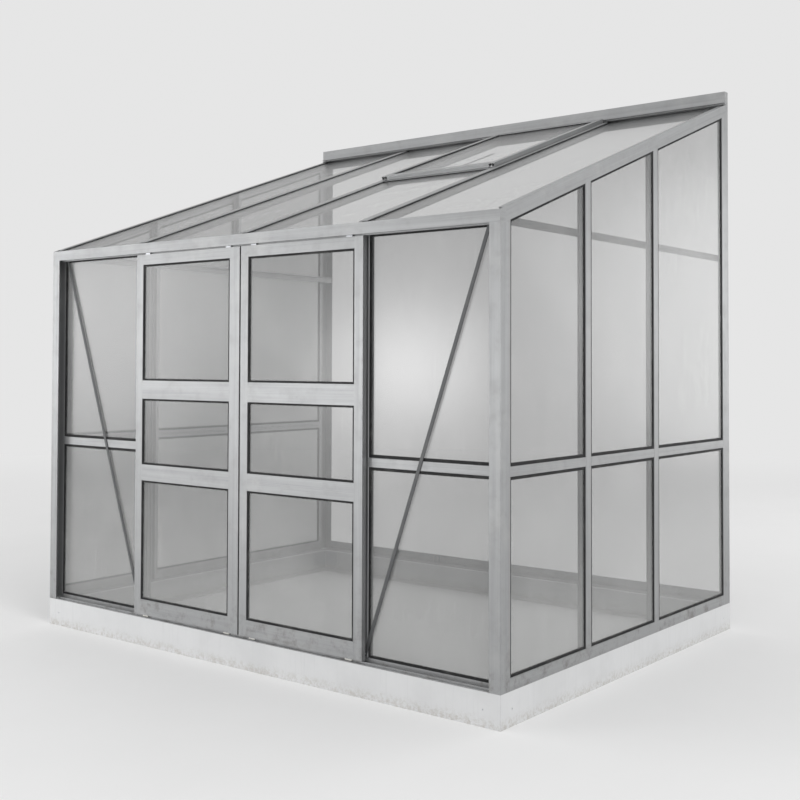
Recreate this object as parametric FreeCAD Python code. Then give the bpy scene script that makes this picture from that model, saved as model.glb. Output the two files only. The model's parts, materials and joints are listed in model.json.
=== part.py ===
import FreeCAD, Part
import math
import os

from FreeCAD import Vector

# Lean-to greenhouse. X runs along the front, +Y towards the house wall, +Z up.
# The origin is on the ground, at the middle of the footprint.

# Overall sizes (mm)
frame_width = 2540.0        # outside of one corner post to outside of the other
frame_depth = 1930.0        # front face to wall face
base_height = 120.0         # folded steel plinth
eaves_height = 1755.0       # roof surface above the front face
ridge_height = 2510.0       # top of the wall plate
ridge_stand = 53.0          # wall plate above the roof surface, at the wall
front_bar_x = 640.0         # door posts and outer roof bars, from the middle
side_bar_a = 600.0          # first side bar, from the front face
side_bar_b = 1172.0         # second side bar, from the front face
mid_rail_z = 862.0          # centre of the glazing rails of the walls
vent_sill_y = 920.0         # vent sill, from the front face

# Plinth
base_wall = 2.0
base_flange = 80.0
corner_plate_leg = 100.0
corner_plate_wall = 3.0
corner_plate_margin = 20.0
corner_bolt_in = 70.0       # bolt along a leg of the plate

# Glazing section, as depths below the outer face of a bar's cap
cap_wall = 3.0
seal_wall = 2.0
glass_wall = 4.0
flange_wall = 2.5
stem_depth = 26.5
foot_wall = 3.0
glass_top = cap_wall + seal_wall
glass_bottom = glass_top + glass_wall
flange_top = glass_bottom + seal_wall
flange_bottom = flange_top + flange_wall
foot_top = flange_bottom + stem_depth
foot_bottom = foot_top + foot_wall
bar_half = 20.0             # half the width of a bar's face
web_half = 1.5              # half the thickness of a bar's web
foot_half = 9.0
cap_bevel = 1.5
rail_half = 18.0            # half the height of a glazing rail
rail_stem = 16.0
seal_gap = 2.0              # rebate line to the outer edge of a seal
glass_gap = 6.0             # rebate line to the edge of the glass
seal_reach = 29.0           # rebate line to the inner lip of a seal

# Walls of the frame
post_wall = 3.0
glazing_recess = 36.0       # front glazing behind the front face, to pass the doors
post_front = 47.0           # face of a corner post, along the front
post_side = 60.0            # face of a corner post, along the side
back_post_side = 70.0
back_post_flange = 50.0
sill_wall = 3.0
sill_lip = 45.0             # height of a side or back sill above the plinth
sill_floor_depth = 60.0     # floor of a side or back sill
frame_inner = 80.0          # depth of the front sill and of the eaves bar

# Eaves bar with its gutter
gutter_wall = 2.5
eaves_drop = 44.0           # front of the eaves bar below the roof surface
gutter_width = 32.0
gutter_seal_gap = 0.2       # gutter's back wall below the seals of the roof glass
feet_gap = 0.2             # back leg of the eaves bar below the feet of the roof bars
roof_overhang = 22.0        # lower edge of the roof glass, from the front face
roof_glass_end = 2.0        # rebate line of the roof glass short of the wall plate

# Roof
verge_web = 50.0
verge_rebate = 10.0         # roof rebate line, from the side face
side_rebate = 30.0          # side rebate line below the roof surface
wall_plate = 3.0
fascia_offset = 33.0
fascia_gap = 1.0

# Sliding doors
door_front = 6.0            # face of the door behind the front face
door_depth = 22.0
door_lap = 15.0             # outer edge of a door past the middle line of its post
door_meet = 4.0             # inner edge of a door, from the middle
door_head_gap = 2.0         # top of a door below its track
door_sill_gap = 9.0         # bottom of a door above the sill
stile_width = 42.0
left_meeting_stile = 58.0
top_rail = 45.0
upper_rail_z = 1112.0       # centre of the door's upper middle rail
upper_rail = 80.0
lower_rail_z = 750.0
lower_rail = 70.0
bottom_rail = 66.0
leaf_wall = 2.5
leaf_rebate = 14.0
leaf_channel = 10.0         # glazing channel of a door or vent member
leaf_seal_reach = 22.0
leaf_seal_gap = 0.5
leaf_glass_gap = 3.0
door_travel = 560.0
brush_inset = 4.0           # draught strip behind a door, from its outer edge
brush_width = 8.0
brush_depth = 3.5
meeting_gap = 0.4           # meeting strip short of the other door
meeting_inset = 5.0         # meeting strip from the faces of the door

# Track, rollers and guides
rail_front = 16.0           # track rib behind the front face
rail_wall = 2.5
rail_height = 7.0           # top of the track rib above the track's underside
track_drop = 4.0            # track below the eaves bar
track_gap = 2.5             # top of the track below the gutter
roller_tread = 8.0
roller_rim = 10.0
roller_width = 9.0
roller_groove = 3.3
roller_lift = 0.3
roller_headroom = 1.7       # roller to the underside of the gutter
axle_radius = 2.5
axle_clearance = 0.05
axle_head = 4.5
axle_gap = 0.5              # collar and head of an axle, from the roller
axle_head_wall = 2.0
hanger_inset = 70.0         # roller centre from the edge of the door
hanger_width = 30.0
hanger_front = 8.0
hanger_foot = 7.0
guide_length = 34.0
guide_width = 12.5
guide_gap = 0.6
guide_lift = 1.5            # guide above the sill, and its slot above the sill's rib
rib_height = 6.5
stop_length = 12.0
stop_side = 3.0             # buffer past the faces of the track rib
stop_gap = 1.0              # roller to buffer with the door wide open

# Roof vent
vent_lift = 1.0             # vent frame above the roof bars' caps
vent_depth = 18.0
vent_gap = 3.0              # side of the vent from the middle line of a roof bar
vent_side_rail = 30.0
vent_top_rail = 34.0
vent_bottom_rail = 42.0
vent_lap = 8.0              # vent's lower edge below its sill line
bead_radius = 4.0
bead_clearance = 0.06
channel_wall = 2.5
hinge_height = 8.0          # hinge line above the roof surface
bead_gap = 2.0              # hinge bead in front of the fascia
hinge_gap = 8.0             # top rail from the hinge line
neck_half = 1.25
vent_opening = 25.0         # degrees
sill_web = 30.0
stay_pivot = 26.0           # stay pivot above the sill line, along the slope
stay_drop = 8.0             # stay pivot below the roof surface
stay_half = 10.0
stay_wall = 3.0
stay_reach = 12.0           # open stay in front of the sill line, along the slope
stay_hole = 4.5
stay_hole_pitch = 60.0
peg_radius = 3.0
peg_length = 5.0
peg_spacing = 60.0
ear_gap = 0.5
ear_wall = 2.5
ear_length = 12.0
ear_plate = 1.5
eye_inset = 4.0             # stay's eye from the edges of the stay
eye_gap = 1.0               # stay's eye inside the ends of the ears
shoulder_gap = 4.0          # full width of the stay past the ears

# Ties, braces and fixings
tie_height = 30.0
tie_wall = 3.0
tie_leg = 20.0
brace_half = 7.0
brace_wall = 3.0
brace_foot = 14.0           # lower brace screw above the front sill's lip
brace_head = 18.0           # upper brace screw from the corner post
brace_clear = 4.0           # upper end of a brace below the shelf of the eaves bar
screw_radius = 3.0
bolt_radius = 3.0
nut_radius = 5.5
nut_height = 4.5
bolt_end = 2.0              # bolt past its nut
wall_hole = 3.5
wall_hole_x = 30.0          # wall fixing from the side face
wall_hole_low = 400.0
wall_hole_high = 2000.0
plate_hole_x = 900.0        # wall plate fixing from the middle
ground_hole = 4.5
ground_hole_x = 1000.0      # ground fixing from the middle
ground_hole_in = 45.0       # ground fixing from the outer face

# Worked-out places
half_width = frame_width / 2
front = -frame_depth / 2
back = frame_depth / 2
roof_back = ridge_height - ridge_stand
pitch = math.atan2(roof_back - eaves_height, frame_depth)
along = Vector(0, math.cos(pitch), math.sin(pitch))
normal = Vector(0, -math.sin(pitch), math.cos(pitch))
glazing_front = front + glazing_recess
eaves_bottom = eaves_height - eaves_drop
sill_floor = base_height + sill_wall
sill_top = base_height + sill_lip
sill_rebate = sill_top - bar_half
front_sill_rebate = sill_floor - seal_gap
front_sill_top = front_sill_rebate + bar_half
eaves_rebate = eaves_bottom + bar_half
shelf_top = eaves_rebate + gutter_wall
post_rebate_x = half_width - post_front + bar_half
post_rebate_y = front + post_side - bar_half
back_rebate_y = back - back_post_side + bar_half
bar_a_y = front + side_bar_a
bar_b_y = front + side_bar_b
gutter_back = front + gutter_width
web_bottom = roof_back - verge_web / math.cos(pitch)
hinge_y = back - fascia_offset - bead_radius - bead_gap
door_edge = front_bar_x + door_lap
track_floor = eaves_bottom - track_drop
rail_top = track_floor + rail_height
door_top = track_floor - door_head_gap
door_bottom = sill_floor + door_sill_gap
axle_z = rail_top + roller_tread + roller_lift
gutter_floor = axle_z + roller_rim + roller_headroom

nodes = {}


def add(name, solids):
    nodes.setdefault(name, []).extend(solids)


def box(x, y, z):
    return Part.makeBox(x[1] - x[0], y[1] - y[0], z[1] - z[0], Vector(x[0], y[0], z[0]))


def prism(points, direction):
    return Part.Face(Part.makePolygon(points + [points[0]])).extrude(direction)


def rod(radius, start, end):
    return Part.makeCylinder(radius, (end - start).Length, start, end - start)


def join(shapes):
    whole = shapes[0].multiFuse(shapes[1:])
    return whole.removeSplitter()


def mirrored(shape):
    return shape.mirror(Vector(0, 0, 0), Vector(1, 0, 0))


def both_sides(shape):
    return [mirrored(shape), shape]


def add_pair(name, shape):
    add(name + "_left", [mirrored(shape)])
    add(name + "_right", [shape])


# Places on each glazed plane: across, up, and depth below the outer face

def on_front(across, up, depth):
    return Vector(across, glazing_front + depth, up)


def on_side(across, up, depth):
    return Vector(half_width - depth, across, up)


def on_roof(across, up, depth):
    return Vector(across, front, eaves_height) + along * up - normal * depth


def roof_z(y):
    return eaves_height + (y - front) * math.tan(pitch)


def slope(y, depth=0.0):
    """Distance up the slope at which a point this deep lies at y."""
    return (y - front - depth * math.sin(pitch)) / math.cos(pitch)


def slab(outline, place, top, bottom):
    points = [place(a, b, top) for a, b in outline]
    return prism(points, place(0, 0, bottom) - place(0, 0, top))


def upright(profile, place, centre, low, high):
    """A profile of (across, depth) points, run up the plane."""
    points = [place(centre + a, low, d) for a, d in profile]
    return prism(points, place(0, high, 0) - place(0, low, 0))


def crosswise(profile, place, centre, low, high):
    """A profile of (up, depth) points, run across the plane."""
    points = [place(low, centre + a, d) for a, d in profile]
    return prism(points, place(high, 0, 0) - place(low, 0, 0))


def below_verge(shape, depth):
    """What is left of a side wall's piece below the roof, at this depth under its surface."""
    low = front - 10
    high = back + 10
    drop = depth / math.cos(pitch)
    outline = [(low, 0), (high, 0), (high, roof_z(high) - drop), (low, roof_z(low) - drop)]
    return shape.common(slab(outline, on_side, -10, 200))


def between_ends(shape):
    """A roof piece trimmed upright against the gutter and the wall plate."""
    return shape.common(box((-half_width, half_width), (gutter_back, back - wall_plate), (0, 2 * ridge_height)))


def inset(outline, distance):
    """A convex outline, listed anticlockwise, moved in on every edge."""
    lines = []
    count = len(outline)
    for i in range(count):
        ax, ay = outline[i]
        bx, by = outline[(i + 1) % count]
        length = math.hypot(bx - ax, by - ay)
        nx = -(by - ay) / length
        ny = (bx - ax) / length
        lines.append((nx, ny, nx * ax + ny * ay + distance))
    corners = []
    for i in range(count):
        a1, b1, c1 = lines[i - 1]
        a2, b2, c2 = lines[i]
        det = a1 * b2 - a2 * b1
        corners.append(((c1 * b2 - c2 * b1) / det, (a1 * c2 - a2 * c1) / det))
    return corners


def rectangle(left, right, low, high):
    return [(left, low), (right, low), (right, high), (left, high)]


def pane(cell, place, open_edges=()):
    """Glass in a cell of rebate lines, and a folded rubber seal along each of its edges."""
    glass = slab(inset(cell, glass_gap), place, glass_top, glass_bottom)
    outer = inset(cell, seal_gap)
    inner = inset(cell, seal_reach)
    seals = []
    for i in range(len(cell)):
        if i not in open_edges:
            j = (i + 1) % len(cell)
            strip = slab([outer[i], outer[j], inner[j], inner[i]], place, cap_wall, flange_top)
            seals.append(strip.cut(glass))
    return glass, seals


def bar_face():
    return [(-web_half, cap_wall), (web_half, cap_wall), (web_half, flange_top), (bar_half, flange_top),
            (bar_half, flange_bottom), (-bar_half, flange_bottom), (-bar_half, flange_top),
            (-web_half, flange_top)]


def bar_stem():
    return [(-web_half, flange_bottom), (web_half, flange_bottom), (web_half, foot_top),
            (foot_half, foot_top), (foot_half, foot_bottom), (-foot_half, foot_bottom),
            (-foot_half, foot_top), (-web_half, foot_top)]


def bar_cap():
    return [(-bar_half, cap_bevel), (-bar_half + cap_bevel, 0), (bar_half - cap_bevel, 0),
            (bar_half, cap_bevel), (bar_half, cap_wall), (-bar_half, cap_wall)]


def rail_section():
    return [(-rail_half, cap_bevel), (-rail_half + cap_bevel, 0), (rail_half - cap_bevel, 0),
            (rail_half, cap_bevel), (rail_half, cap_wall), (web_half, cap_wall), (web_half, flange_top),
            (rail_half, flange_top), (rail_half, flange_bottom), (web_half, flange_bottom),
            (web_half, flange_bottom + rail_stem), (-web_half, flange_bottom + rail_stem),
            (-web_half, flange_bottom), (-rail_half, flange_bottom), (-rail_half, flange_top),
            (-web_half, flange_top), (-web_half, cap_wall), (-rail_half, cap_wall)]


def make_base():
    end = half_width - base_wall
    for name, outer, inward in (("base_front", front, 1), ("base_back", back, -1)):
        web = sorted((outer, outer + inward * base_wall))
        flange = sorted((outer + inward * base_wall, outer + inward * base_flange))
        channel = join([box((-half_width, half_width), web, (0, base_height)),
                        box((-end, end), flange, (0, base_wall)),
                        box((-end, end), flange, (base_height - base_wall, base_height))])
        hole_y = outer + inward * ground_hole_in
        for x in (-ground_hole_x, ground_hole_x):
            channel = channel.cut(rod(ground_hole, Vector(x, hole_y, -1), Vector(x, hole_y, base_wall + 1)))
        add(name, [channel])
    flange_x = (half_width - base_flange, end)
    flange_y = (front + base_flange, back - base_flange)
    channel = join([box((end, half_width), (front + base_wall, back - base_wall), (0, base_height)),
                    box(flange_x, flange_y, (0, base_wall)),
                    box(flange_x, flange_y, (base_height - base_wall, base_height))])
    add_pair("base", channel)


def make_corner_plates():
    """An angle plate inside each corner of the plinth, with a bolt and nut through each leg."""
    for end, inward in ((front, 1), (back, -1)):
        wall = end + inward * base_wall
        inner = wall + inward * corner_plate_wall
        far = wall + inward * corner_plate_leg
        x_out = half_width - base_wall
        heights = (corner_plate_margin, base_height - corner_plate_margin)
        plate = join([box((x_out - corner_plate_leg, x_out), sorted((wall, inner)), heights),
                      box((x_out - corner_plate_wall, x_out), sorted((wall, far)), heights)])
        middle = base_height / 2
        grip = base_wall + corner_plate_wall
        facing = "base_front" if inward > 0 else "base_back"
        spots = [(Vector(x_out - corner_bolt_in, end, middle), Vector(0, inward, 0), facing),
                 (Vector(half_width, wall + inward * corner_bolt_in, middle), Vector(-1, 0, 0), "base_right")]
        for start, way, web in spots:
            hole = rod(bolt_radius, start - way, start + way * (grip + 1))
            plate = plate.cut(hole)
            nodes[web] = [nodes[web][0].cut(hole)]
            other = "base_left" if web == "base_right" else web
            nodes[other] = [nodes[other][0].cut(mirrored(hole))]
            shank = rod(bolt_radius, start, start + way * (grip + nut_height + bolt_end))
            seat = start + way * grip
            nut = rod(nut_radius, seat, seat + way * nut_height).cut(shank)
            add("frame_bolts", both_sides(shank) + both_sides(nut))
        add("base_corner_plates", both_sides(plate))


def sill_section(rebate):
    """Lips of a sill as (up, depth), for glass whose rebate line is this high."""
    lip = rebate + bar_half - base_height
    groove = max(rebate - seal_gap - base_height, sill_wall)
    return [(0, 0), (0, flange_bottom), (lip, flange_bottom), (lip, flange_top), (groove, flange_top),
            (groove, cap_wall), (lip, cap_wall), (lip, 0)]


def make_sills():
    inner_x = half_width - post_front
    lips = crosswise(sill_section(front_sill_rebate), on_front, base_height, -inner_x, inner_x)
    floor = box((-inner_x, inner_x), (front + base_wall, front + frame_inner), (base_height, sill_floor))
    rib = box((-inner_x, inner_x), (front + rail_front, front + rail_front + rail_wall),
              (sill_floor, sill_floor + rib_height))
    add("sill_front", [join([lips, floor, rib])])
    near = front + post_side
    far = back - back_post_side
    points = [on_side(near, base_height + up, depth) for up, depth in sill_section(sill_rebate)]
    lips = prism(points, Vector(0, far - near, 0))
    floor = box((half_width - sill_floor_depth, half_width), (front + frame_inner, far), (base_height, sill_floor))
    add_pair("sill", join([lips, floor]))
    inner_x = half_width - back_post_flange
    angle = join([box((-inner_x, inner_x), (back - sill_floor_depth, back), (base_height, sill_floor)),
                  box((-inner_x, inner_x), (back - sill_wall, back), (base_height, sill_top))])
    add("sill_back", [angle])


def make_corner_posts():
    """Corner posts, whose front rebate runs on up behind the eaves bar."""
    heights = (base_height, eaves_bottom)
    rebate = (base_height, eaves_rebate)
    inner_x = half_width - post_front
    side_seat = half_width - flange_bottom
    shapes = [box((inner_x, half_width), (front, front + post_wall), heights),
              box((half_width - post_wall, half_width), (front, front + post_side), heights),
              box((side_seat, half_width), (glazing_front, glazing_front + cap_wall), heights),
              box((inner_x, side_seat), (glazing_front, glazing_front + cap_wall), rebate),
              box((inner_x, side_seat), (glazing_front + flange_top, glazing_front + flange_bottom), rebate),
              box((side_seat, half_width - flange_top), (glazing_front, front + post_side), heights)]
    add_pair("corner_post", join(shapes))


def make_back_posts():
    heights = (base_height, ridge_height)
    side_seat = half_width - flange_bottom
    nib = (back_rebate_y, back_rebate_y + post_wall)
    shapes = [box((half_width - post_wall, half_width), (back - back_post_side, back), heights),
              box((half_width - back_post_flange, half_width), (back - post_wall, back), heights),
              box((side_seat, half_width), nib, heights),
              box((side_seat, half_width - flange_top), (back - back_post_side, nib[1]), heights)]
    post = below_verge(join(shapes), verge_web)
    for z in (wall_hole_low, wall_hole_high):
        x = half_width - wall_hole_x
        post = post.cut(rod(wall_hole, Vector(x, back - post_wall - 1, z), Vector(x, back + 1, z)))
    add_pair("back_post", post)


def make_front_bars():
    """Door posts: full face between the lips of the sill and of the eaves bar, stems notched past both."""
    face = upright(bar_face(), on_front, front_bar_x, front_sill_top, eaves_rebate - bar_half)
    stem = upright(bar_stem(), on_front, front_bar_x, sill_floor, eaves_rebate)
    add_pair("door_post", join([face, stem]))
    cap = upright(bar_cap(), on_front, front_bar_x, front_sill_top, eaves_rebate - bar_half)
    add("glazing_caps", both_sides(cap))


def make_side_bars():
    for y in (bar_a_y, bar_b_y):
        face = below_verge(upright(bar_face(), on_side, y, sill_top, ridge_height), verge_web)
        stem = below_verge(upright(bar_stem(), on_side, y, sill_floor, ridge_height), flange_bottom)
        add("side_bars", both_sides(join([face, stem])))
        cap = below_verge(upright(bar_cap(), on_side, y, sill_top, ridge_height), verge_web)
        add("glazing_caps", both_sides(cap))


def make_mid_rails():
    section = rail_section()
    rail = crosswise(section, on_front, mid_rail_z, front_bar_x + bar_half, half_width - post_front)
    add("mid_rails_front", both_sides(rail))
    spans = [(front + post_side, bar_a_y - bar_half), (bar_a_y + bar_half, bar_b_y - bar_half),
             (bar_b_y + bar_half, back - back_post_side)]
    for low, high in spans:
        add_pair("mid_rails", crosswise(section, on_side, mid_rail_z, low, high))


def make_ties():
    low = front + frame_inner
    high = back - post_wall
    x = half_width - foot_bottom
    bottom = eaves_bottom + gutter_wall
    top = bottom + tie_height
    tie = join([box((x - tie_wall, x), (low, high), (bottom, top)),
                box((x - tie_wall - tie_leg, x), (low, high), (top - tie_wall, top))])
    add("eaves_ties", both_sides(tie))


def make_braces():
    """A flat brace across each fixed front bay, from the foot of the door post to the lip of the eaves bar."""
    low = Vector(front_bar_x + bar_half / 2, 0, front_sill_top + brace_foot)
    high = Vector(half_width - post_front - brace_head, 0, eaves_rebate - brace_half - brace_clear)
    run = (high - low).normalize()
    across = Vector(run.z, 0, -run.x)
    face = Vector(0, glazing_front - brace_wall, 0)
    ends = [low - run * brace_half, high + run * brace_half]
    points = [face + ends[0] + across * brace_half, face + ends[1] + across * brace_half,
              face + ends[1] - across * brace_half, face + ends[0] - across * brace_half]
    brace = prism(points, Vector(0, brace_wall, 0))
    caps = nodes["glazing_caps"]
    for spot in (low, high):
        screw = rod(screw_radius, face + spot, face + spot + Vector(0, brace_wall + cap_wall, 0))
        brace = brace.cut(screw)
        for i in range(len(caps)):
            caps[i] = caps[i].cut(screw).cut(mirrored(screw))
        nodes["eaves_gutter"] = [nodes["eaves_gutter"][0].cut(screw).cut(mirrored(screw))]
        add("frame_bolts", both_sides(screw))
    add("braces", both_sides(brace))


def make_eaves():
    """Gutter along the front, with the rebate for the front glass behind it."""
    end = half_width - post_wall
    inner_end = half_width - flange_bottom - seal_gap
    leg_front = gutter_back - gutter_wall
    back_top = roof_z(leg_front) - flange_top / math.cos(pitch) - gutter_seal_gap
    trough = join([box((-end, end), (front, front + gutter_wall), (eaves_bottom, eaves_height)),
                   box((-end, end), (front, gutter_back), (gutter_floor, gutter_floor + gutter_wall)),
                   box((-end, end), (leg_front, gutter_back), (eaves_bottom, back_top))])
    inner_x = half_width - post_front
    far = front + frame_inner
    shelf = box((-inner_end, inner_end), (gutter_back, far), (eaves_rebate, shelf_top))
    leg_top = roof_z(far - gutter_wall) - foot_bottom / math.cos(pitch) - feet_gap
    leg = box((-inner_end, inner_end), (far - gutter_wall, far), (eaves_rebate, leg_top))
    heights = (eaves_rebate - bar_half, eaves_rebate)
    lips = [box((-inner_x, inner_x), (glazing_front, glazing_front + cap_wall), heights),
            box((-inner_x, inner_x), (glazing_front + flange_top, glazing_front + flange_bottom), heights)]
    add("eaves_gutter", [join([trough, shelf, leg] + lips)])


def make_end_caps():
    """Plates that close the ends of the eaves bar and of the wall plate."""
    near = front + post_side
    drop = verge_web / math.cos(pitch)
    eaves = [(front, eaves_bottom), (near, eaves_bottom), (near, roof_z(near) - drop),
             (gutter_back, roof_z(gutter_back) - drop), (gutter_back, roof_z(gutter_back)), (front, eaves_height)]
    add("end_caps", both_sides(slab(eaves, on_side, 0, post_wall)))
    fascia = back - fascia_offset
    inner = back - wall_plate
    ridge = [(fascia, roof_z(fascia) + fascia_gap), (inner, roof_z(inner) + fascia_gap), (inner, web_bottom),
             (back, web_bottom), (back, ridge_height), (fascia, ridge_height)]
    add("end_caps", both_sides(slab(ridge, on_side, 0, post_wall)))


def make_wall_plate():
    """Wall plate with its front fascia, and the channel that holds the vent's hinge bead."""
    end = half_width - post_wall
    fascia = back - fascia_offset
    web = box((-end, end), (back - wall_plate, back), (web_bottom, ridge_height))
    top = box((-end, end), (fascia, back), (ridge_height - wall_plate, ridge_height))
    skirt = box((-end, end), (fascia, fascia + wall_plate), (roof_z(fascia + wall_plate) + fascia_gap, ridge_height))
    centre = hinge_point()
    start = Vector(-end, centre.y, centre.z)
    finish = Vector(end, centre.y, centre.z)
    bore = bead_radius + bead_clearance
    ring = rod(bore + channel_wall, start, finish)
    mouth = []
    for degrees in (-30, 45):
        angle = math.radians(degrees)
        mouth.append(start + Vector(0, -math.cos(angle), -math.sin(angle)) * 4 * bore)
    plate = join([web, top, skirt, ring])
    plate = plate.cut(rod(bore, start, finish)).cut(prism([start] + mouth, finish - start))
    for x in (-plate_hole_x, plate_hole_x):
        z = (roof_z(fascia) + ridge_height) / 2
        plate = plate.cut(rod(wall_hole, Vector(x, back - wall_plate - 1, z), Vector(x, back + 1, z)))
    add("wall_plate", [plate])


def hinge_point():
    up = slope(hinge_y, -hinge_height)
    return on_roof(0, up, -hinge_height)


def make_verge_bars():
    high = slope(back) + verge_web

    def strip(inner, outer, top, bottom):
        outline = [(inner, top), (outer, top), (outer, bottom), (inner, bottom)]
        points = [on_roof(half_width - a, 0, d) for a, d in outline]
        return prism(points, along * high)

    reach = verge_rebate + bar_half
    nib = side_rebate - 2 * post_wall
    pieces = [strip(0, post_wall, 0, verge_web), strip(0, reach, 0, cap_wall),
              strip(0, reach, flange_top, flange_bottom), strip(0, flange_bottom, nib, nib + post_wall),
              strip(flange_top, flange_bottom, nib, verge_web)]
    add_pair("verge_bar", between_ends(join(pieces)))


def make_roof_bars():
    """Roof bars, notched over the shelf of the eaves bar."""
    high = slope(back) + foot_bottom
    low = slope(front + roof_overhang)
    notch = box((-half_width, half_width), (front, front + frame_inner), (0, shelf_top))
    for x in (-front_bar_x, 0, front_bar_x):
        face = upright(bar_face(), on_roof, x, 0, high)
        stem = upright(bar_stem(), on_roof, x, 0, high)
        add("roof_bars", [between_ends(join([face, stem])).cut(notch)])
        cap = upright(bar_cap(), on_roof, x, low, high)
        upto_wall = box((-half_width, half_width), (front, back - wall_plate), (0, 2 * ridge_height))
        add("glazing_caps", [cap.common(upto_wall)])


def vent_line():
    return slope(front + vent_sill_y)


def make_vent_sill():
    line = vent_line()
    low = bar_half
    high = front_bar_x - bar_half
    section = [(-bar_half, 0), (web_half * 2, 0), (web_half * 2, sill_web), (0, sill_web), (0, flange_bottom),
               (-bar_half, flange_bottom), (-bar_half, flange_top), (0, flange_top), (0, cap_wall),
               (-bar_half, cap_wall)]
    add("vent_sill", [crosswise(section, on_roof, line, low, high)])
    for side in (-0.5, 0.5):
        x = front_bar_x / 2 + side * peg_spacing
        start = on_roof(x, line + web_half * 2, stay_drop)
        add("vent_pegs", [rod(peg_radius, start, start + along * peg_length)])


def make_wall_glass():
    for low, high in ((front_sill_rebate, mid_rail_z), (mid_rail_z, eaves_rebate)):
        glass, seals = pane(rectangle(front_bar_x, post_rebate_x, low, high), on_front)
        add("glass_front", both_sides(glass))
        for seal in seals:
            add("glazing_seals", both_sides(seal))
    drop = side_rebate / math.cos(pitch)
    lines = [post_rebate_y, bar_a_y, bar_b_y, back_rebate_y]
    for near, far in zip(lines, lines[1:]):
        lower = rectangle(near, far, sill_rebate, mid_rail_z)
        upper = [(near, mid_rail_z), (far, mid_rail_z), (far, roof_z(far) - drop), (near, roof_z(near) - drop)]
        for cell in (lower, upper):
            glass, seals = pane(cell, on_side)
            add_pair("glass", glass)
            for seal in seals:
                add("glazing_seals", both_sides(seal))


def make_roof_glass():
    low = slope(front + roof_overhang) - glass_gap
    high = slope(back - wall_plate, flange_top) - roof_glass_end
    edge = half_width - verge_rebate
    lines = [-edge, -front_bar_x, 0, front_bar_x, edge]
    bays = list(zip(lines, lines[1:]))
    for bay in bays:
        if bay == (0, front_bar_x):
            glass, seals = pane(rectangle(bay[0], bay[1], low, vent_line()), on_roof, (0,))
        else:
            glass, seals = pane(rectangle(bay[0], bay[1], low, high), on_roof, (0, 2))
        add("glass_roof", [glass])
        add("glazing_seals", seals)


# Doors and vent: leaves of hollow members, each open to the glass on one or both edges

def member(width, depth, low_open, high_open):
    """Section of a member as (across, depth), with its glazing channels, and its hollow."""
    channel = leaf_wall + leaf_channel
    lip = channel + leaf_wall
    low = leaf_rebate if low_open else 0
    high = width - leaf_rebate if high_open else width
    outline = [(0, 0), (width, 0)]
    if high_open:
        outline += [(width, leaf_wall), (high, leaf_wall), (high, channel), (width, channel), (width, lip), (high, lip)]
    outline += [(high, depth), (low, depth)]
    if low_open:
        outline += [(low, lip), (0, lip), (0, channel), (low, channel), (low, leaf_wall), (0, leaf_wall)]
    hollow = rectangle(low + leaf_wall, high - leaf_wall, leaf_wall, depth - leaf_wall)
    return outline, hollow


def leaf(place, left, right, low, high, stiles, rails, depth):
    """Stiles, rails, glass and seals of a glazed leaf. Rails are (centre, height), from the bottom."""
    outline, hollow = member(stiles[0], depth, False, True)
    uprights = [upright(outline, place, left, low, high).cut(upright(hollow, place, left, low, high))]
    outline = [(stiles[1] - a, d) for a, d in member(stiles[1], depth, False, True)[0]]
    hollow = [(stiles[1] - a, d) for a, d in member(stiles[1], depth, False, True)[1]]
    start = right - stiles[1]
    uprights.append(upright(outline, place, start, low, high).cut(upright(hollow, place, start, low, high)))
    crosses = []
    near = left + stiles[0]
    far = right - stiles[1]
    for centre, height in rails:
        bottom = centre - height / 2
        low_open = bottom > low + 1
        high_open = bottom + height < high - 1
        outline, hollow = member(height, depth, low_open, high_open)
        crosses.append(crosswise(outline, place, bottom, near, far).cut(crosswise(hollow, place, bottom, near, far)))
    panes = []
    seals = []
    for (lower, lower_height), (upper, upper_height) in zip(rails, rails[1:]):
        cell = rectangle(near - leaf_rebate, far + leaf_rebate,
                         lower + lower_height / 2 - leaf_rebate, upper - upper_height / 2 + leaf_rebate)
        top = leaf_wall + (leaf_channel - glass_wall) / 2
        glass = slab(inset(cell, leaf_glass_gap), place, top, top + glass_wall)
        panes.append(glass)
        outer = inset(cell, leaf_seal_gap)
        inner = inset(cell, leaf_seal_reach)
        for i in range(4):
            j = (i + 1) % 4
            strip = slab([outer[i], outer[j], inner[j], inner[i]], place, leaf_wall, leaf_wall + leaf_channel)
            seals.append(strip.cut(glass))
    return uprights, crosses, panes, seals


def on_door(across, up, depth):
    return Vector(across, front + door_front + depth, up)


def make_door(side, left, right, stiles, outward):
    """One sliding leaf with its hangers, rollers, guides and draught strips."""
    name = "door_" + side
    rails = [(door_bottom + bottom_rail / 2, bottom_rail), (lower_rail_z, lower_rail),
             (upper_rail_z, upper_rail), (door_top - top_rail / 2, top_rail)]
    uprights, crosses, panes, seals = leaf(on_door, left, right, door_bottom, door_top, stiles, rails, door_depth)
    add(name + "_stiles", uprights)
    add(name + "_rails", crosses)
    add(name + "_glass", panes)
    reach = door_meet - meeting_gap
    near = left + brush_inset
    far = right - brush_inset
    meeting = (right, right + reach) if outward < 0 else (left - reach, left)
    outer = (near, near + brush_width) if outward < 0 else (far - brush_width, far)
    face = front + door_front
    back_face = face + door_depth
    strips = [box(meeting, (face + meeting_inset, back_face - meeting_inset), (door_bottom, door_top)),
              box(outer, (back_face, back_face + brush_depth), (door_bottom, door_top))]
    add(name + "_seals", seals + strips)
    spots = {"outer": left + hanger_inset, "inner": right - hanger_inset}
    if outward > 0:
        spots = {"outer": right - hanger_inset, "inner": left + hanger_inset}
    for which, x in spots.items():
        make_hanger(name, which, x)


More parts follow.
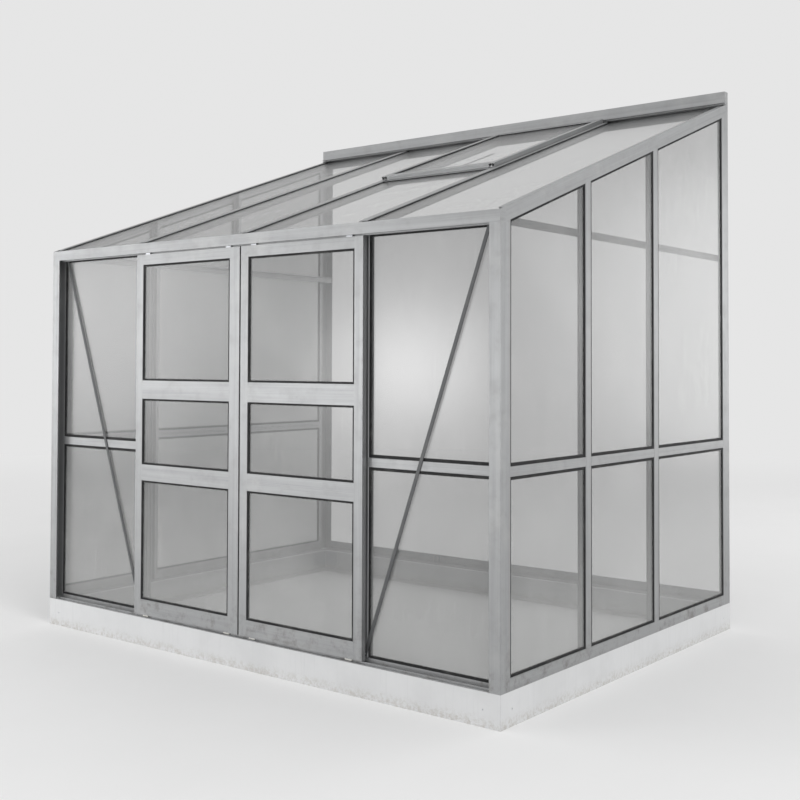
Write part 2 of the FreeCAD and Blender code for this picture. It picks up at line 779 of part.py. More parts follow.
def make_hanger(name, which, x):
    wide = (x - hanger_width / 2, x + hanger_width / 2)
    face = front + hanger_front
    plate = join([box(wide, (face, face + leaf_wall), (door_top, axle_z + axle_head * 2)),
                  box(wide, (face, face + hanger_foot), (door_top, door_top + leaf_wall))])
    middle = front + rail_front + rail_wall / 2
    roller_near = middle - roller_width / 2
    roller_far = middle + roller_width / 2
    pin_end = roller_far + axle_gap
    axle = rod(axle_radius, Vector(x, face + leaf_wall, axle_z), Vector(x, pin_end, axle_z))
    head = rod(axle_head, Vector(x, pin_end, axle_z), Vector(x, pin_end + axle_head_wall, axle_z))
    collar = rod(axle_head, Vector(x, face + leaf_wall, axle_z), Vector(x, roller_near - axle_gap, axle_z))
    add(name + "_hangers", [plate, join([axle, head, collar])])
    rim = rod(roller_rim, Vector(x, roller_near, axle_z), Vector(x, roller_far, axle_z))
    groove_near = middle - roller_groove / 2
    groove = rod(roller_rim + 1, Vector(x, groove_near, axle_z), Vector(x, groove_near + roller_groove, axle_z))
    tread = rod(roller_tread, Vector(x, roller_near, axle_z), Vector(x, roller_far, axle_z))
    bore = rod(axle_radius + axle_clearance, Vector(x, roller_near - 1, axle_z), Vector(x, roller_far + 1, axle_z))
    add(name + "_roller_" + which, [join([rim.cut(groove), tread]).cut(bore)])
    rib = (front + rail_front - guide_gap, front + rail_front + rail_wall + guide_gap)
    wide = (x - guide_length / 2, x + guide_length / 2)
    deep = (middle - guide_width / 2, middle + guide_width / 2)
    shoe = box(wide, deep, (sill_floor + guide_lift, door_bottom))
    slot = box((wide[0] - 1, wide[1] + 1), rib, (sill_floor, sill_floor + rib_height + guide_lift))
    add(name + "_guides", [shoe.cut(slot)])


def make_track():
    """Bar below the gutter that carries the door rollers, and a buffer near each end of it."""
    end = half_width - post_front
    leg_back = gutter_back - gutter_wall
    rib_back = front + rail_front + rail_wall
    top = gutter_floor - track_gap
    track = join([box((-end, end), (leg_back - rail_wall, leg_back), (track_floor, top)),
                  box((-end, end), (front + rail_front, leg_back), (track_floor, track_floor + rail_wall)),
                  box((-end, end), (front + rail_front, rib_back), (track_floor, rail_top))])
    add("door_track", [track])
    near = door_edge - hanger_inset + door_travel + roller_rim + stop_gap
    stop = box((near, near + stop_length), (front + rail_front - stop_side, rib_back + stop_side),
               (rail_top, rail_top + roller_tread))
    add("door_stops", both_sides(stop))


def on_vent(across, up, depth):
    return on_roof(across, up, depth - vent_lift - vent_depth)


def make_vent():
    line = vent_line()
    hinge = slope(hinge_y, -hinge_height)
    low = line - vent_lap
    high = hinge - hinge_gap
    left = vent_gap
    right = front_bar_x - vent_gap
    rails = [(low + vent_bottom_rail / 2, vent_bottom_rail), (high - vent_top_rail / 2, vent_top_rail)]
    stiles = (vent_side_rail, vent_side_rail)
    uprights, crosses, panes, seals = leaf(on_vent, left, right, low, high, stiles, rails, vent_depth)
    add("vent_side_rails", uprights)
    neck_section = [(0, -neck_half), (-hinge_gap - 1, -neck_half), (-hinge_gap - 1, neck_half), (0, neck_half)]
    neck = prism([on_roof(left, hinge + a, d - hinge_height) for a, d in neck_section], Vector(right - left, 0, 0))
    bead = rod(bead_radius, on_roof(left, hinge, -hinge_height), on_roof(right, hinge, -hinge_height))
    crosses[1] = join([crosses[1], neck.cut(uprights[0]).cut(uprights[1]), bead])
    add("vent_cross_rails", crosses)
    add("vent_glass", panes)
    add("vent_seals", seals)
    make_stay(line, hinge)


def turned(point, centre, degrees):
    """A point turned about the X axis, lifting what lies down the slope."""
    moved = FreeCAD.Rotation(Vector(-1, 0, 0), degrees).multVec(point - centre)
    return centre + moved


def stay_geometry(line, hinge):
    """Length from pivot to end hole, and the stay's turn when the vent is wide open."""
    axis = on_roof(0, hinge, -hinge_height)
    pivot = on_roof(0, line + stay_pivot, stay_drop)
    lifted = turned(pivot, axis, vent_opening)
    target = on_roof(0, line + stay_reach, stay_drop)
    reach = target - lifted
    start = FreeCAD.Rotation(Vector(-1, 0, 0), vent_opening).multVec(along)
    swing = math.degrees(start.getAngle(reach))
    return reach.Length, swing


def make_stay(line, hinge):
    """Flat bar with holes under the vent, on a pin between two ears."""
    length, swing = stay_geometry(line, hinge)
    print("stay length", round(length, 2), "swing", round(swing, 3), "ratio", round(swing / vent_opening, 5))
    middle = front_bar_x / 2
    pivot = line + stay_pivot
    shoulder = pivot + ear_length / 2 + shoulder_gap
    outline = rectangle(middle - stay_half, middle + stay_half, shoulder, pivot + length + stay_half)
    bar = slab(outline, on_roof, stay_drop - stay_wall / 2, stay_drop + stay_wall / 2)
    eye_half = stay_half - eye_inset
    eye = rod(ear_length / 2 - eye_gap, on_roof(middle - eye_half, pivot, stay_drop),
              on_roof(middle + eye_half, pivot, stay_drop))
    neck = slab(rectangle(middle - eye_half, middle + eye_half, pivot, shoulder + 1), on_roof,
                stay_drop - stay_wall / 2, stay_drop + stay_wall / 2)
    hole = rod(axle_radius + axle_clearance, on_roof(middle - stay_half, pivot, stay_drop),
               on_roof(middle + stay_half, pivot, stay_drop))
    stay = join([bar, eye, neck]).cut(hole)
    count = int((length - stay_hole_pitch) / stay_hole_pitch)
    for i in range(count):
        up = pivot + length - i * stay_hole_pitch
        above = on_roof(middle, up, stay_drop - stay_wall)
        below = on_roof(middle, up, stay_drop + stay_wall)
        stay = stay.cut(rod(stay_hole, above, below))
    add("vent_stay", [stay])
    ears = []
    underside = -vent_lift
    for side in (-1, 1):
        near = middle + side * (eye_half + ear_gap)
        far = near + side * ear_wall
        cell = rectangle(min(near, far), max(near, far), pivot - ear_length / 2, pivot + ear_length / 2)
        ears.append(slab(cell, on_roof, underside, stay_drop + ear_length / 2))
    wide = eye_half + ear_gap + ear_wall
    plate = slab(rectangle(middle - wide, middle + wide, pivot - ear_length / 2, pivot + ear_length / 2), on_roof,
                 underside, underside + ear_plate)
    pin = rod(axle_radius, on_roof(middle - wide, pivot, stay_drop), on_roof(middle + wide, pivot, stay_drop))
    add("vent_stay_bracket", [join(ears + [plate, pin])])


def make_doors():
    make_door("left", -door_edge, -door_meet, (stile_width, left_meeting_stile), -1)
    make_door("right", door_meet, door_edge, (stile_width, stile_width), 1)


def export():
    os.makedirs("parts", exist_ok=True)
    for name, solids in nodes.items():
        shape = solids[0] if len(solids) == 1 else Part.makeCompound(solids)
        shape.exportStep("parts/" + name + ".step")
    print(len(nodes), "nodes")


make_base()
make_corner_plates()
make_sills()
make_corner_posts()
make_back_posts()
make_front_bars()
make_side_bars()
make_mid_rails()
make_ties()
make_eaves()
make_braces()
make_end_caps()
make_wall_plate()
make_verge_bars()
make_roof_bars()
make_vent_sill()
make_wall_glass()
make_roof_glass()
make_track()
make_doors()
make_vent()
export()
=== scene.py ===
import json
import math

import bmesh
import bpy
from mathutils import Matrix, Vector


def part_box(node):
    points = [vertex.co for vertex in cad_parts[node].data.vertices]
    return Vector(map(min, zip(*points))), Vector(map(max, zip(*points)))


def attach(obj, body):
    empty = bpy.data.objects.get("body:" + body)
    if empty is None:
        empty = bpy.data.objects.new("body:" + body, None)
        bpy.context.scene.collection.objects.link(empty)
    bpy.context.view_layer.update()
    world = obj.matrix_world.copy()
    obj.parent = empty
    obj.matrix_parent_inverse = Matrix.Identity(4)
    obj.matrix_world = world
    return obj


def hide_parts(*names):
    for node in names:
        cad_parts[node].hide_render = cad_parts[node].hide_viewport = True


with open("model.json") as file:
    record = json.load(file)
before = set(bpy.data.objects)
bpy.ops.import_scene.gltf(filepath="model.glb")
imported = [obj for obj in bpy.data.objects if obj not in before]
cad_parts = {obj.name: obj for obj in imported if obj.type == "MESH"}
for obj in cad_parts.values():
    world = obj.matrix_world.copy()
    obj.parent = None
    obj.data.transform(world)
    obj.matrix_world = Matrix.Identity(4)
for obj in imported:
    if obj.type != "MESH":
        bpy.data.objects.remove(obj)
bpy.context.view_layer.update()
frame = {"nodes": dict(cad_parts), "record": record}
nodeOf = frame["nodes"]
print("frame loaded:", len(nodeOf), "nodes")


# shader maths on wrapped sockets

class Wire:
    def __init__(self, tree, socket=None):
        self.tree = tree
        self.socket = socket

    def make(self, kind, settings, values, output=0):
        node = self.tree.nodes.new(kind)
        for key, value in settings.items():
            setattr(node, key, value)
        for key, value in values.items():
            if isinstance(value, Wire):
                self.tree.links.new(value.socket, node.inputs[key])
            else:
                node.inputs[key].default_value = value
        return Wire(self.tree, node.outputs[output])

    def pair(self, operation, first, second):
        wires = [w for w in (first, second) if isinstance(w, Wire)]
        if all(w.socket.type == "VALUE" for w in wires):
            return self.make("ShaderNodeMath", {"operation": operation}, {0: first, 1: second})
        wide = [w if isinstance(w, (Wire, tuple)) else (w, w, w) for w in (first, second)]
        return self.make("ShaderNodeVectorMath", {"operation": operation}, {0: wide[0], 1: wide[1]})

    def __add__(self, other):
        return self.pair("ADD", self, other)

    def __radd__(self, other):
        return self.pair("ADD", other, self)

    def __sub__(self, other):
        return self.pair("SUBTRACT", self, other)

    def __rsub__(self, other):
        return self.pair("SUBTRACT", other, self)

    def __mul__(self, other):
        return self.pair("MULTIPLY", self, other)

    def __rmul__(self, other):
        return self.pair("MULTIPLY", other, self)

    def dot(self, other):
        return self.make("ShaderNodeVectorMath", {"operation": "DOT_PRODUCT"}, {0: self, 1: other}, 1)

    def part(self, axis):
        return self.make("ShaderNodeSeparateXYZ", {}, {0: self}, "XYZ".index(axis))

    def length(self):
        return self.make("ShaderNodeVectorMath", {"operation": "LENGTH"}, {0: self}, 1)

    def fade(self, start, end):
        # 0 at the start, 1 at the end
        settings = {"interpolation_type": "SMOOTHSTEP", "clamp": True}
        return self.make("ShaderNodeMapRange", settings, {0: self, 1: start, 2: end})

    def toward(self, other, amount):
        # this colour mixed toward another one
        values = {0: amount, 6: self, 7: other}
        return self.make("ShaderNodeMix", {"data_type": "RGBA", "clamp_factor": True}, values, 2)


def startMaterial(name):
    paint = bpy.data.materials.new(name)
    paint.use_nodes = True
    paint.node_tree.nodes.clear()
    sheet = Wire(paint.node_tree)
    place = sheet.make("ShaderNodeTexCoord", {}, {}, 3)  # Object coordinates
    return paint, sheet, place


def finishNode(paint, surface):
    out = paint.node_tree.nodes.new("ShaderNodeOutputMaterial")
    paint.node_tree.links.new(surface.socket, out.inputs["Surface"])


def endMaterial(paint, values):
    sheet = Wire(paint.node_tree)
    finishNode(paint, sheet.make("ShaderNodeBsdfPrincipled", {}, values))
    return paint


def flat(sheet, value):
    node = sheet.make("ShaderNodeRGB", {}, {})
    node.socket.default_value = (*value, 1)
    return node


def noise(place, scale, detail=3.0, rough=0.55, shift=0.0):
    values = {"Vector": place + shift, "Scale": scale, "Detail": detail, "Roughness": rough}
    return place.make("ShaderNodeTexNoise", {}, values)


def stretched(place, way, fine, coarse):
    # coordinates scaled finely across a direction and coarsely along it
    along = place.dot(way)
    parts = {axis: along * ((fine - coarse) * way["XYZ".index(axis)]) for axis in "XYZ"}
    return place * fine - place.make("ShaderNodeCombineXYZ", {}, parts)


def bumped(height, strength, depth, under=None):
    values = {"Height": height, "Strength": strength, "Distance": depth}
    if under:
        values["Normal"] = under
    return height.make("ShaderNodeBump", {}, values)


def rounded(place, radius):
    # a soft highlight along sharp edges
    return place.make("ShaderNodeBevel", {"samples": 4}, {"Radius": radius})


# mill aluminium, its grain running along each extrusion

aluminium = {
    "colour": (0.385, 0.39, 0.395),
    "dull": (0.31, 0.315, 0.32),
    "bloom": (0.48, 0.48, 0.475),
    "grime": (0.17, 0.16, 0.145),
    "metallic": 0.72,
    "roughness": 0.33,
    "grainAcross": 420.0,
    "grainAlong": 2.2,
    "grainDepth": 0.06,
    "streakAcross": 58.8,
    "streakAlong": 1.32,
    "cloudScale": 5.5,
    "pitScale": 38.0,
    "speckScale": 160.0,
    "dirtScale": 17.0,
    "dirtTop": 0.34,     # height above which only a little dirt is left
    "dirtFoot": 0.115,
    "dirtLow": 0.5,
    "dirtAll": 0.12,
    "edge": 0.0007,
}
ridgeStand = 0.053  # top of the wall plate above the roof's surface
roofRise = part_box("wall_plate")[1].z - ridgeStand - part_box("eaves_gutter")[1].z
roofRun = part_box("base_back")[1].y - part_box("base_front")[0].y
roofPitch = math.atan2(roofRise, roofRun)
grainWays = {
    "up": (0, 0, 1),
    "across": (1, 0, 0),
    "deep": (0, 1, 0),
    "slope": (0, math.cos(roofPitch), math.sin(roofPitch)),
}


def makeAluminium(name, way):
    look = aluminium
    paint, sheet, place = startMaterial(name)
    grain = noise(stretched(place, way, look["grainAcross"], look["grainAlong"]), 1.0, 4.0, 0.6)
    streak = noise(stretched(place, way, look["streakAcross"], look["streakAlong"]), 1.0, 2.0, 0.5, 7.0)
    cloud = noise(place, look["cloudScale"], 4.0, 0.6)
    speck = noise(place, look["speckScale"], 2.0, 0.6, 3.0)
    pitted = noise(place, look["pitScale"], 3.0, 0.65, 11.0).fade(0.60, 0.74)
    low = place.part("Z").fade(look["dirtTop"], look["dirtFoot"])
    patches = noise(place, look["dirtScale"], 4.0, 0.7, 5.0).fade(0.46, 0.74)
    dirt = (low * look["dirtLow"] + look["dirtAll"]) * patches
    brushed = (grain * 0.5 + streak * 0.5).fade(0.35, 0.75)
    base = flat(sheet, look["colour"]).toward(flat(sheet, look["dull"]), brushed)
    base = base.toward(flat(sheet, look["bloom"]), cloud.fade(0.5, 0.8) * 0.5)
    base = base.toward(flat(sheet, look["dull"]), pitted * speck.fade(0.45, 0.7) * 0.55)
    base = base.toward(flat(sheet, look["grime"]), dirt)
    rough = look["roughness"] + grain * 0.10 + cloud * 0.12 + pitted * 0.10 + dirt * 0.3
    height = grain * 0.7 + streak * 0.3 - pitted * 0.25
    normal = bumped(height, look["grainDepth"], 0.0004, rounded(place, look["edge"]))
    metallic = look["metallic"] - dirt * 0.5 - pitted * 0.15
    return endMaterial(paint, {"Base Color": base, "Metallic": metallic, "Roughness": rough, "Normal": normal})


# coated steel of the plinth

plinthCoat = {
    "colour": (0.70, 0.705, 0.71),
    "chalk": (0.62, 0.625, 0.63),
    "splash": (0.40, 0.37, 0.32),
    "roughness": 0.41,
    "coat": 0.15,
    "coatRoughness": 0.3,
    "splashHeight": 0.05,
    "ragged": 0.05,
    "peelScale": 520.0,
    "cloudScale": 4.0,
    "runAcross": 60.0,
    "runAlong": 3.0,
    "raggedScale": 26.0,
    "splashScale": 70.0,
    "edge": 0.0015,
}


def makePlinthCoat():
    look = plinthCoat
    paint, sheet, place = startMaterial("coatedPlinth")
    peel = noise(place, look["peelScale"], 2.0, 0.5)
    cloud = noise(place, look["cloudScale"], 4.0, 0.6)
    run = noise(stretched(place, grainWays["up"], look["runAcross"], look["runAlong"]), 1.0, 3.0, 0.6).fade(0.52, 0.78)
    shift = noise(place, look["raggedScale"], 4.0, 0.7, 4.0) * look["ragged"] - look["ragged"] / 2
    flecks = noise(place, look["splashScale"], 3.0, 0.7).fade(0.38, 0.66)
    splash = (place.part("Z") + shift).fade(look["splashHeight"], 0.0) * flecks
    base = flat(sheet, look["colour"]).toward(flat(sheet, look["chalk"]), cloud.fade(0.35, 0.75) * 0.7)
    base = base.toward(flat(sheet, look["chalk"]), run * 0.5)
    base = base.toward(flat(sheet, look["splash"]), splash * 0.55)
    rough = look["roughness"] + cloud * 0.14 + splash * 0.25
    normal = bumped(peel, 0.05, 0.0004, rounded(place, look["edge"]))
    return endMaterial(paint, {"Base Color": base, "Roughness": rough, "Normal": normal,
                               "Coat Weight": look["coat"], "Coat Roughness": look["coatRoughness"]})


# clear glass under a film of dust, rain runs and soil splashed up from the bed; the light veil near the bottom is also
# painted light, lifting the lower panes over the shadowed floor seen through them

glass = {
    "colour": (0.12, 0.123, 0.122),
    # dust colour, made light so that the lower veil also paints light onto the lower panes
    "dustAndLightColour": (0.56, 0.565, 0.556),
    "opacity": 0.42,
    "roughness": 0.27,
    "ior": 1.52,
    "coatIor": 1.9,
    # below this height the lower veil lightens the glass: partly splashed soil, partly painted light
    "splashHeight": 0.85,
    "splashAndLightFoot": 0.12,
    "filmScale": 2.3,
    "runAcross": 46.0,
    "runAlong": 1.6,
    "spotScale": 210.0,
    "waveScale": 3.1,
}


def makeGlass():
    look = glass
    paint, sheet, place = startMaterial("greenhouseGlass")
    film = noise(place, look["filmScale"], 4.0, 0.6)
    runWay = (0, 0.1, 1)
    runs = noise(stretched(place, runWay, look["runAcross"], look["runAlong"]), 1.0, 4.0, 0.65).fade(0.50, 0.80)
    spots = noise(place, look["spotScale"], 2.0, 0.5, 9.0).fade(0.64, 0.76)
    # lighter toward the bottom: splashed soil, and also painted light that lifts the lower panes where the floor
    # behind them lies in shadow
    low = place.part("Z").fade(look["splashHeight"], look["splashAndLightFoot"])
    # dust film, runs and spots, plus the lower veil, which is partly painted light
    dustAndLightMask = film.fade(0.38, 0.80) * 0.24 + runs * 0.16 + spots * 0.16 + low * 0.6
    base = flat(sheet, look["colour"]).toward(flat(sheet, look["dustAndLightColour"]), dustAndLightMask)
    normal = bumped(noise(place, look["waveScale"], 1.0, 0.4), 0.03, 0.002)
    return endMaterial(paint, {"Base Color": base, "Roughness": look["roughness"] + dustAndLightMask * 0.30, "Normal": normal,
                               "Alpha": look["opacity"], "IOR": look["ior"], "Coat Weight": 1.0,
                               "Coat IOR": look["coatIor"], "Coat Roughness": look["roughness"]})


# black rubber: glazing seals, and the buffers on the track

rubber = {
    "name": "glazingRubber",
    "colour": (0.018, 0.018, 0.019),
    "bloom": (0.075, 0.075, 0.073),
    "roughness": 0.52,
}
buffer = {
    "name": "bufferRubber",
    "colour": (0.030, 0.029, 0.028),
    "bloom": (0.10, 0.10, 0.095),
    "roughness": 0.6,
}
rubberScales = {"cloud": 14.0, "powder": 300.0, "skin": 700.0}


def makeRubber(look):
    paint, sheet, place = startMaterial(look["name"])
    cloud = noise(place, rubberScales["cloud"], 4.0, 0.65)
    powder = noise(place, rubberScales["powder"], 2.0, 0.6).fade(0.6, 0.75)
    bloom = cloud.fade(0.45, 0.75) * 0.7 + powder * 0.3
    base = flat(sheet, look["colour"]).toward(flat(sheet, look["bloom"]), bloom)
    normal = bumped(noise(place, rubberScales["skin"], 2.0, 0.5), 0.12, 0.0003)
    return endMaterial(paint, {"Base Color": base, "Roughness": look["roughness"] + cloud * 0.2,
                               "Specular IOR Level": 0.2, "Normal": normal})


# bright zinc plate on bolts, hangers, plates and brackets

zinc = {
    "colour": (0.62, 0.63, 0.66),
    "dark": (0.40, 0.42, 0.44),
    "metallic": 0.92,
    "roughness": 0.30,
    "crystalScale": 260.0,
    "wornScale": 90.0,
    "skinScale": 900.0,
    "edge": 0.0004,
}


def makeZinc():
    look = zinc
    paint, sheet, place = startMaterial("zincPlate")
    crystal = place.make("ShaderNodeTexVoronoi", {}, {"Vector": place, "Scale": look["crystalScale"]}, 1)
    worn = noise(place, look["wornScale"], 4.0, 0.65).fade(0.5, 0.75)
    base = flat(sheet, look["colour"]).toward(flat(sheet, look["dark"]), crystal.part("X") * 0.35 + worn * 0.4)
    normal = bumped(noise(place, look["skinScale"], 2.0, 0.5), 0.05, 0.0003, rounded(place, look["edge"]))
    return endMaterial(paint, {"Base Color": base, "Metallic": look["metallic"],
                               "Roughness": look["roughness"] + worn * 0.25, "Normal": normal})


# weathered steel of the two braces

braceSteel = {
    "colour": (0.10, 0.103, 0.106),
    "bloom": (0.19, 0.19, 0.186),
    "rust": (0.15, 0.085, 0.05),
    "metallic": 0.6,
    "roughness": 0.5,
    "cloudScale": 22.0,
    "spotScale": 240.0,
    "rustScale": 34.0,
    "edge": 0.0005,
}


def makeBraceSteel():
    look = braceSteel
    paint, sheet, place = startMaterial("weatheredSteel")
    cloud = noise(place, look["cloudScale"], 4.0, 0.65).fade(0.42, 0.76)
    spots = noise(place, look["spotScale"], 3.0, 0.6, 6.0).fade(0.60, 0.74)
    rust = noise(place, look["rustScale"], 4.0, 0.7, 2.0).fade(0.62, 0.76) * spots
    base = flat(sheet, look["colour"]).toward(flat(sheet, look["bloom"]), cloud * 0.6 + spots * 0.2)
    base = base.toward(flat(sheet, look["rust"]), rust * 0.6)
    normal = bumped(cloud * 0.5 + spots * 0.5, 0.08, 0.0003, rounded(place, look["edge"]))
    return endMaterial(paint, {"Base Color": base, "Metallic": look["metallic"] - rust * 0.5,
                               "Roughness": look["roughness"] + cloud * 0.15, "Normal": normal})


# natural nylon of the rollers and the bottom guides

nylon = {
    "colour": (0.80, 0.79, 0.75),
    "worn": (0.56, 0.54, 0.49),
    "roughness": 0.42,
    "scuffAcross": 260.0,
    "scuffAlong": 40.0,
    "cloudScale": 120.0,
    "glow": 0.08,
    "glowDepth": (0.004, 0.004, 0.003),
}


def makeNylon():
    look = nylon
    paint, sheet, place = startMaterial("naturalNylon")
    scuffed = stretched(place, grainWays["across"], look["scuffAcross"], look["scuffAlong"])
    scuff = noise(scuffed, 1.0, 3.0, 0.6).fade(0.52, 0.74)
    cloud = noise(place, look["cloudScale"], 3.0, 0.6)
    base = flat(sheet, look["colour"]).toward(flat(sheet, look["worn"]), scuff * 0.5 + cloud.fade(0.5, 0.8) * 0.3)
    normal = bumped(scuff + cloud * 0.4, 0.08, 0.0003)
    return endMaterial(paint, {"Base Color": base, "Roughness": look["roughness"] + scuff * 0.2, "Normal": normal,
                               "Subsurface Weight": look["glow"], "Subsurface Radius": look["glowDepth"]})


materials = {way: makeAluminium("aluminium_" + way, grainWays[way]) for way in grainWays}
materials["plinth_steel"] = makePlinthCoat()
materials["greenhouse_glass"] = makeGlass()
materials["glazing_rubber"] = makeRubber(rubber)
materials["buffer_rubber"] = makeRubber(buffer)
materials["zinc_fixings"] = makeZinc()
materials["nylon"] = makeNylon()
materials["brace_steel"] = makeBraceSteel()
print("materials made:", len(materials))


# which way the extrusion of each aluminium part runs; posts, bars and stiles run up

waysOf = {
    "across": ("sill_front", "sill_back", "mid_rails_front", "door_track", "eaves_gutter", "wall_plate", "vent_sill",
               "vent_cross_rails", "door_left_rails", "door_right_rails"),
    "deep": ("sill_left", "sill_right", "mid_rails_left", "mid_rails_right", "eaves_ties", "end_caps"),
    "slope": ("verge_bar_left", "verge_bar_right", "roof_bars", "vent_side_rails", "vent_stay"),
    "brace_steel": ("braces",),
}
wayOfNode = {name: way for way, names in waysOf.items() for name in names}


def paintNodes():
    for part in frame["record"]["subparts"]:
        slot = part["material_slot"]
        key = wayOfNode.get(part["node"], "up") if slot == "mill_aluminium" else slot
        mesh = nodeOf[part["node"]].data
        mesh.materials.clear()
        mesh.materials.append(materials[key])


def makePiece(name, bm, slot, body, replaced):
    bmesh.ops.recalc_face_normals(bm, faces=bm.faces)
    mesh = bpy.data.meshes.new(name)
    bm.to_mesh(mesh)
    bm.free()
    piece = bpy.data.objects.new(name, mesh)
    bpy.context.scene.collection.objects.link(piece)
    mesh.materials.append(materials[slot])
    for face in mesh.polygons:
        face.use_smooth = True
    mesh.set_sharp_from_angle(angle=math.radians(35))
    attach(piece, body)
    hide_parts(replaced)


# grooved nylon rollers of the doors, turned in one spin

roller = {
    "tread": 0.008,
    "groove": 0.0033,
    "bore": 0.00255,
    "round": 0.0006,
    "hubRadius": 0.0055,
    "hubDip": 0.0006,
    "steps": 48,
}


def makeRoller(name):
    size = roller
    low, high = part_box(name)
    centre = (low + high) / 2
    half = (high.y - low.y) / 2
    rim = (high.x - low.x) / 2
    mid = size["groove"] / 2
    edge = size["round"]
    hub = size["hubRadius"]
    dip = half - size["hubDip"]
    profile = [(size["bore"], dip), (hub, dip), (hub + edge, half), (rim - edge, half), (rim, half - edge),
               (rim, mid + edge), (rim - edge, mid), (size["tread"], mid)]
    profile += [(r, -y) for r, y in reversed(profile)]
    bm = bmesh.new()
    ring = [bm.verts.new(centre + Vector((r, y, 0))) for r, y in profile]
    edges = [bm.edges.new((a, b)) for a, b in zip(ring, ring[1:] + ring[:1])]
    bmesh.ops.spin(bm, geom=ring + edges, cent=centre, axis=(0, 1, 0), angle=math.tau, steps=size["steps"],
                   use_merge=True)
    makePiece(name + "_shaped", bm, "nylon", name, name)


# bolts and nuts of the plinth's corners, and the screws of the braces

cornerBolt = {
    "radius": 0.003,
    "length": 0.0115,
    "sides": 32,
    "socket": 0.0017,
    "socketDepth": 0.0016,
    "nutRadius": 0.0055,
    "nutHeight": 0.0045,
    "grip": 0.005,
    "chamfer": 0.0004,
    "fromCorner": 0.072,
}
braceScrew = {
    "length": 0.006,
    "footIn": 0.010,   # lower screw from the door post's outer edge
    "footUp": 0.014,   # and above the front sill
    "headIn": 0.018,   # upper screw from the corner post
}


def chamfer(bm, edges):
    bmesh.ops.bevel(bm, geom=edges, offset=cornerBolt["chamfer"], offset_type="OFFSET", segments=2, profile=0.5,
                    affect="EDGES", material=-1)


def facesOf(made, count):
    # the flat ends of a new cone, in the order they were made
    faces = dict.fromkeys(f for v in made["verts"] for f in v.link_faces)
    return [f for f in faces if len(f.verts) == count]


def addShank(bm, start, way, length):
    # a flush round shank with a socket sunk in its outer end
    size = cornerBolt
    turn = Vector((0, 0, 1)).rotation_difference(Vector(way)).to_matrix().to_4x4()
    placed = Matrix.Translation(start) @ turn
    made = bmesh.ops.create_cone(bm, cap_ends=True, segments=size["sides"], radius1=size["radius"],
                                 radius2=size["radius"], depth=length,
                                 matrix=placed @ Matrix.Translation((0, 0, length / 2)))
    chamfer(bm, [e for f in facesOf(made, size["sides"]) for e in f.edges])
    ends = [f for f in bm.faces if len(f.verts) == size["sides"]]
    outer = min(ends, key=lambda f: (f.calc_center_median() - Vector(start)).length)
    wall = size["radius"] - size["chamfer"] - size["socket"]
    bmesh.ops.inset_region(bm, faces=[outer], thickness=wall, depth=0)
    pushed = bmesh.ops.extrude_face_region(bm, geom=[outer])
    inner = [v for v in pushed["geom"] if isinstance(v, bmesh.types.BMVert)]
    bmesh.ops.translate(bm, verts=inner, vec=Vector(way) * size["socketDepth"])
    bmesh.ops.delete(bm, geom=[outer], context="FACES_ONLY")
    return placed


def addNut(bm, placed):
    size = cornerBolt
    seat = size["grip"] + size["nutHeight"] / 2
    made = bmesh.ops.create_cone(bm, cap_ends=True, segments=6, radius1=size["nutRadius"], radius2=size["nutRadius"],
                                 depth=size["nutHeight"], matrix=placed @ Matrix.Translation((0, 0, seat)))
    chamfer(bm, [e for f in facesOf(made, 6) for e in f.edges])


def makeFixings():
    size = cornerBolt
    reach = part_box("frame_bolts")[1]  # flush with the plinth's faces, and as high as the upper screws
    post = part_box("door_post_right")[1]
    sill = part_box("sill_front")[1]
    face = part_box("braces")[0].y
    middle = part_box("base_front")[1].z / 2
    inX = reach.x - size["fromCorner"]
    inY = reach.y - size["fromCorner"]
    foot = (post.x - braceScrew["footIn"], sill.z + braceScrew["footUp"])
    head = (sill.x - braceScrew["headIn"], reach.z - size["radius"])
    bm = bmesh.new()
    for side in (-1, 1):
        for end in (-1, 1):
            spots = [((side * inX, end * reach.y, middle), (0, -end, 0)),
                     ((side * reach.x, end * inY, middle), (-side, 0, 0))]
            for start, way in spots:
                addNut(bm, addShank(bm, start, way, size["length"]))
        for x, z in (foot, head):
            addShank(bm, (side * x, face, z), (0, 1, 0), braceScrew["length"])
    makePiece("frame_fixings", bm, "zinc_fixings", "frame", "frame_bolts")


paintNodes()
for side in ("left", "right"):
    for which in ("outer", "inner"):
        makeRoller("door_" + side + "_roller_" + which)
makeFixings()
print("pieces made")


# camera, floor and lamps

camera = {
    "place": (3.4155, -4.2106, 1.2298),
    "turn": 38.475,
    "tilt": 1.472,
    "roll": 0.172,
    "lens": 51.73,
    "sensor": 36.0,
    "shift": -0.0826,
    "reach": 200.0,
}
studio = {
    "paper": (0.79, 0.79, 0.79),
    "floorColour": (0.89, 0.89, 0.89),
    "floorShade": 0.96,
    "floorScale": 1.4,
    "floorSize": 80.0,
    "fadeFrom": 4.5,     # distance from the middle where the floor starts to melt into the backdrop
    "fadeTo": 11.0,
    "aim": (0, 0, 1.2),
}
lamps = {
    "key": {"place": (8.5, -3.2, 8.0), "size": 5.0, "power": 260},
    "glow": {"place": (-2.2, -4.87, 1.2), "size": 0.7, "power": 24},
    "left": {"place": (-6.6, -4.95, 1.7), "size": 2.8, "power": 70},
    "right": {"place": (3.5, 6.2, 1.7), "size": 2.8, "power": 34},
}


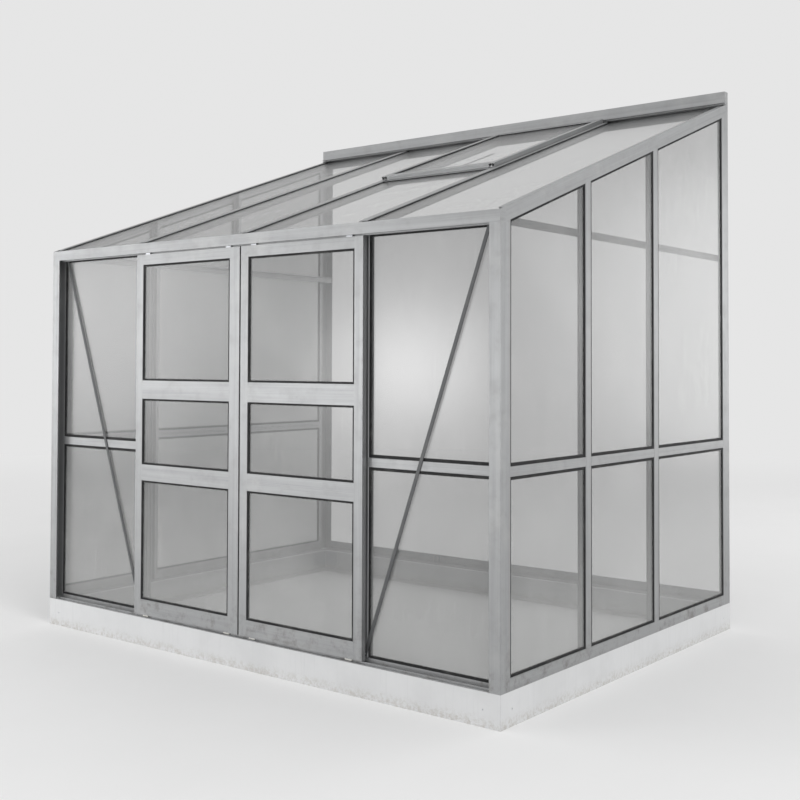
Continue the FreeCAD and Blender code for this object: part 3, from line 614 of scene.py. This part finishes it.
def makeFloorPaint():
    paint, sheet, place = startMaterial("paleFloor")
    tone = noise(place, studio["floorScale"], 4.0, 0.6)
    shade = [studio["floorShade"] * v for v in studio["floorColour"]]
    base = flat(sheet, studio["floorColour"]).toward(flat(sheet, shade), tone)
    matt = sheet.make("ShaderNodeBsdfPrincipled", {},
                      {"Base Color": base, "Roughness": 0.85, "Specular IOR Level": 0.1})
    paper = sheet.make("ShaderNodeEmission", {}, {"Color": (*studio["paper"], 1), "Strength": 1.0})
    away = place.length().fade(studio["fadeFrom"], studio["fadeTo"])
    finishNode(paint, sheet.make("ShaderNodeMixShader", {}, {0: away, 1: matt, 2: paper}))
    return paint


def makeCamera():
    data = bpy.data.cameras.new("camera")
    data.lens = camera["lens"]
    data.sensor_width = camera["sensor"]
    data.shift_y = camera["shift"]
    data.clip_end = camera["reach"]
    eye = bpy.data.objects.new("camera", data)
    bpy.context.scene.collection.objects.link(eye)
    turned = Matrix.Rotation(math.radians(camera["turn"]), 4, "Z")
    raised = Matrix.Rotation(math.radians(90 + camera["tilt"]), 4, "X")
    rolled = Matrix.Rotation(math.radians(camera["roll"]), 4, "Z")
    eye.matrix_world = Matrix.Translation(camera["place"]) @ turned @ raised @ rolled
    bpy.context.scene.camera = eye


def makeLamp(name, lamp):
    data = bpy.data.lights.new(name, "AREA")
    data.shape = "DISK"
    data.size = lamp["size"]
    data.energy = lamp["power"]
    holder = bpy.data.objects.new(name, data)
    bpy.context.scene.collection.objects.link(holder)
    place = Vector(lamp["place"])
    aim = Vector(studio["aim"]) - place
    holder.matrix_world = Matrix.Translation(place) @ aim.to_track_quat("-Z", "Y").to_matrix().to_4x4()


def makeStudio():
    world = bpy.data.worlds.new("studio")
    bpy.context.scene.world = world
    world.use_nodes = True
    light = world.node_tree.nodes["Background"]
    light.inputs["Color"].default_value = (*studio["paper"], 1)
    light.inputs["Strength"].default_value = 1.0
    bm = bmesh.new()
    bmesh.ops.create_grid(bm, x_segments=1, y_segments=1, size=studio["floorSize"] / 2)
    mesh = bpy.data.meshes.new("floor")
    bm.to_mesh(mesh)
    bm.free()
    mesh.materials.append(makeFloorPaint())
    floor = bpy.data.objects.new("floor", mesh)
    bpy.context.scene.collection.objects.link(floor)
    for name, lamp in lamps.items():
        makeLamp(name, lamp)
    bpy.context.scene.view_settings.view_transform = "Standard"


makeCamera()
makeStudio()
print("camera and lamps placed")
